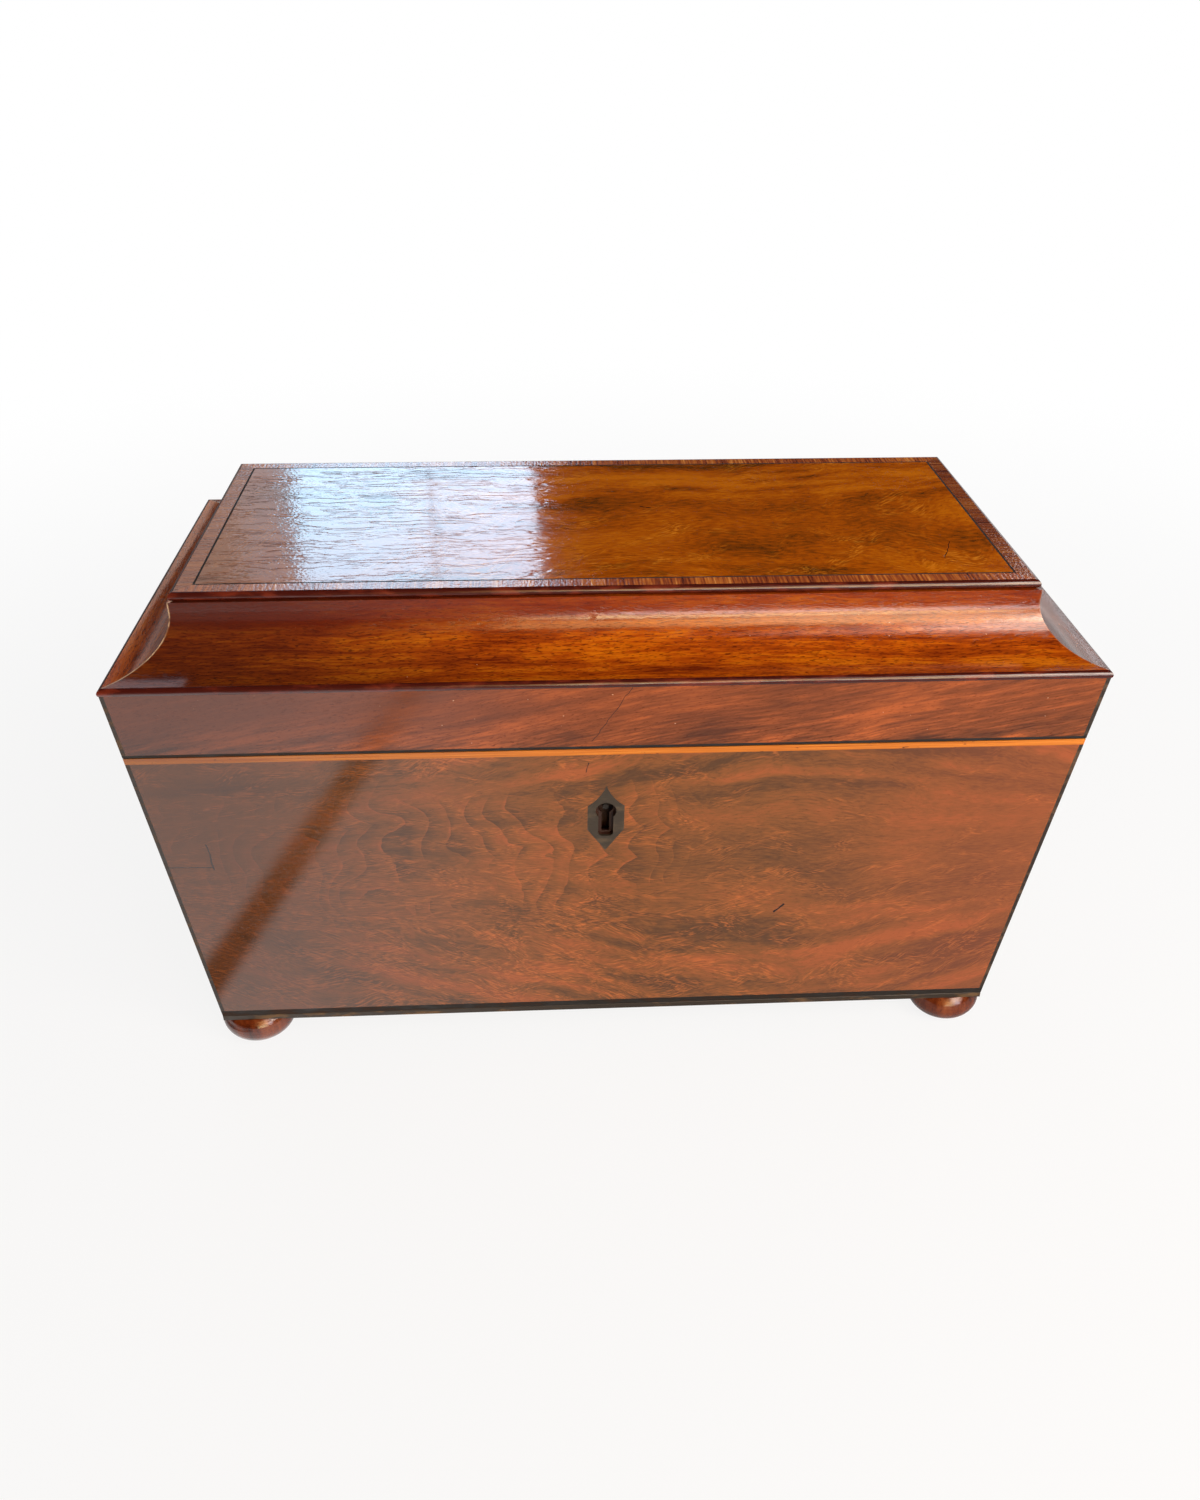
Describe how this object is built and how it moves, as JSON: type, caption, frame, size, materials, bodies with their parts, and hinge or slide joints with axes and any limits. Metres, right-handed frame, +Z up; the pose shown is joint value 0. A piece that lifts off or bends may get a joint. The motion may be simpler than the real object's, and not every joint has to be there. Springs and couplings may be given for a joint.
{
  "type": "sarcophagus tea caddy",
  "caption": "Tapering mahogany tea caddy with a hollow-moulded hinged lid, turned feet, lock, canisters and a mixing bowl.",
  "frame": {"origin": "on the surface that the feet stand on, under the middle of the box", "axes": "+X to the right along the width, +Y from the front with the keyhole to the hinges, +Z up"},
  "size_m": [0.3056, 0.153, 0.1811],
  "materials": {
    "carcass_mahogany": "plain mahogany, waxed",
    "figured_mahogany": "flame mahogany veneer, polished",
    "straight_mahogany": "straight-grained mahogany, polished",
    "crossbanding": "crossbanded veneer, polished",
    "ebonised_wood": "ebony and ebonised wood, polished",
    "boxwood": "aged boxwood, polished",
    "turned_mahogany": "turned and polished",
    "lining_paper": "matt coloured paper",
    "brass": "cast and filed, aged",
    "steel": "dull steel",
    "canister_mahogany": "polished",
    "turned_knob": "turned and polished",
    "lead_foil": "dull lead foil",
    "clear_glass": "clear, polished"
  },
  "bodies": {
    "case": {"front_board": "carcass_mahogany", "back_board": "carcass_mahogany", "left_board": "carcass_mahogany", "right_board": "carcass_mahogany", "bottom_board": "carcass_mahogany", "base_plate": "ebonised_wood", "front_veneer": "figured_mahogany", "back_veneer": "figured_mahogany", "end_veneers": "figured_mahogany", "corner_stringing": "ebonised_wood", "top_edge_stringing": "boxwood", "base_stringing": "ebonised_wood", "escutcheon": "ebonised_wood", "front_feet": "turned_mahogany", "back_feet": "turned_mahogany", "partitions": "carcass_mahogany", "floor_lining": "lining_paper", "bowl_board": "carcass_mahogany", "bowl_board_ledges": "carcass_mahogany", "lock_case": "brass", "lock_cover_plate": "brass", "drill_pin": "steel", "lock_spring": "steel", "hinge_case_leaves": "brass", "hinge_pins": "steel", "case_screws": "steel"},
    "lid": {"lid_front_rail": "carcass_mahogany", "lid_back_rail": "carcass_mahogany", "lid_left_rail": "carcass_mahogany", "lid_right_rail": "carcass_mahogany", "lid_front_veneer": "figured_mahogany", "lid_back_veneer": "figured_mahogany", "lid_end_veneers": "figured_mahogany", "lid_corner_stringing": "ebonised_wood", "lid_edge_stringing": "ebonised_wood", "lower_bead": "ebonised_wood", "front_cove": "straight_mahogany", "back_cove": "straight_mahogany", "left_cove": "straight_mahogany", "right_cove": "straight_mahogany", "upper_bead": "ebonised_wood", "top_board": "carcass_mahogany", "top_veneer": "figured_mahogany", "top_stringing": "ebonised_wood", "top_crossbanding": "crossbanding", "lid_lining": "lining_paper", "strike_plate": "brass", "lid_screws": "steel", "hinge_lid_leaves": "brass"},
    "lock_bolt": {"lock_bolt": "brass"},
    "left_canister": {"left_canister": "canister_mahogany", "left_foil": "lead_foil"},
    "left_cover": {"left_cover": "canister_mahogany", "left_knob": "turned_knob"},
    "right_canister": {"right_canister": "canister_mahogany", "right_foil": "lead_foil"},
    "right_cover": {"right_cover": "canister_mahogany", "right_knob": "turned_knob"},
    "bowl": {"glass_bowl": "clear_glass"}
  },
  "joints": [
    {"name": "lid_hinge", "type": "hinge", "parent": "case", "child": "lid", "pos_m": [0, 0.07419, 0.13415], "axis": [-1, 0, 0], "range_deg": [0, 100]},
    {"name": "lock_bolt_slide", "type": "slide", "parent": "case", "child": "lock_bolt", "axis": [1, 0, 0], "range_m": [0, 0.0045]},
    {"name": "left_canister_lift", "type": "slide", "parent": "case", "child": "left_canister", "axis": [0, 0, 1], "range_m": [0, 0.024]},
    {"name": "right_canister_lift", "type": "slide", "parent": "case", "child": "right_canister", "axis": [0, 0, 1], "range_m": [0, 0.024]},
    {"name": "left_cover_lift", "type": "slide", "parent": "left_canister", "child": "left_cover", "axis": [0, 0, 1], "range_m": [0, 0.024]},
    {"name": "right_cover_lift", "type": "slide", "parent": "right_canister", "child": "right_cover", "axis": [0, 0, 1], "range_m": [0, 0.024]},
    {"name": "bowl_lift", "type": "slide", "parent": "case", "child": "bowl", "axis": [0, 0, 1], "range_m": [0, 0.034]}
  ]
}
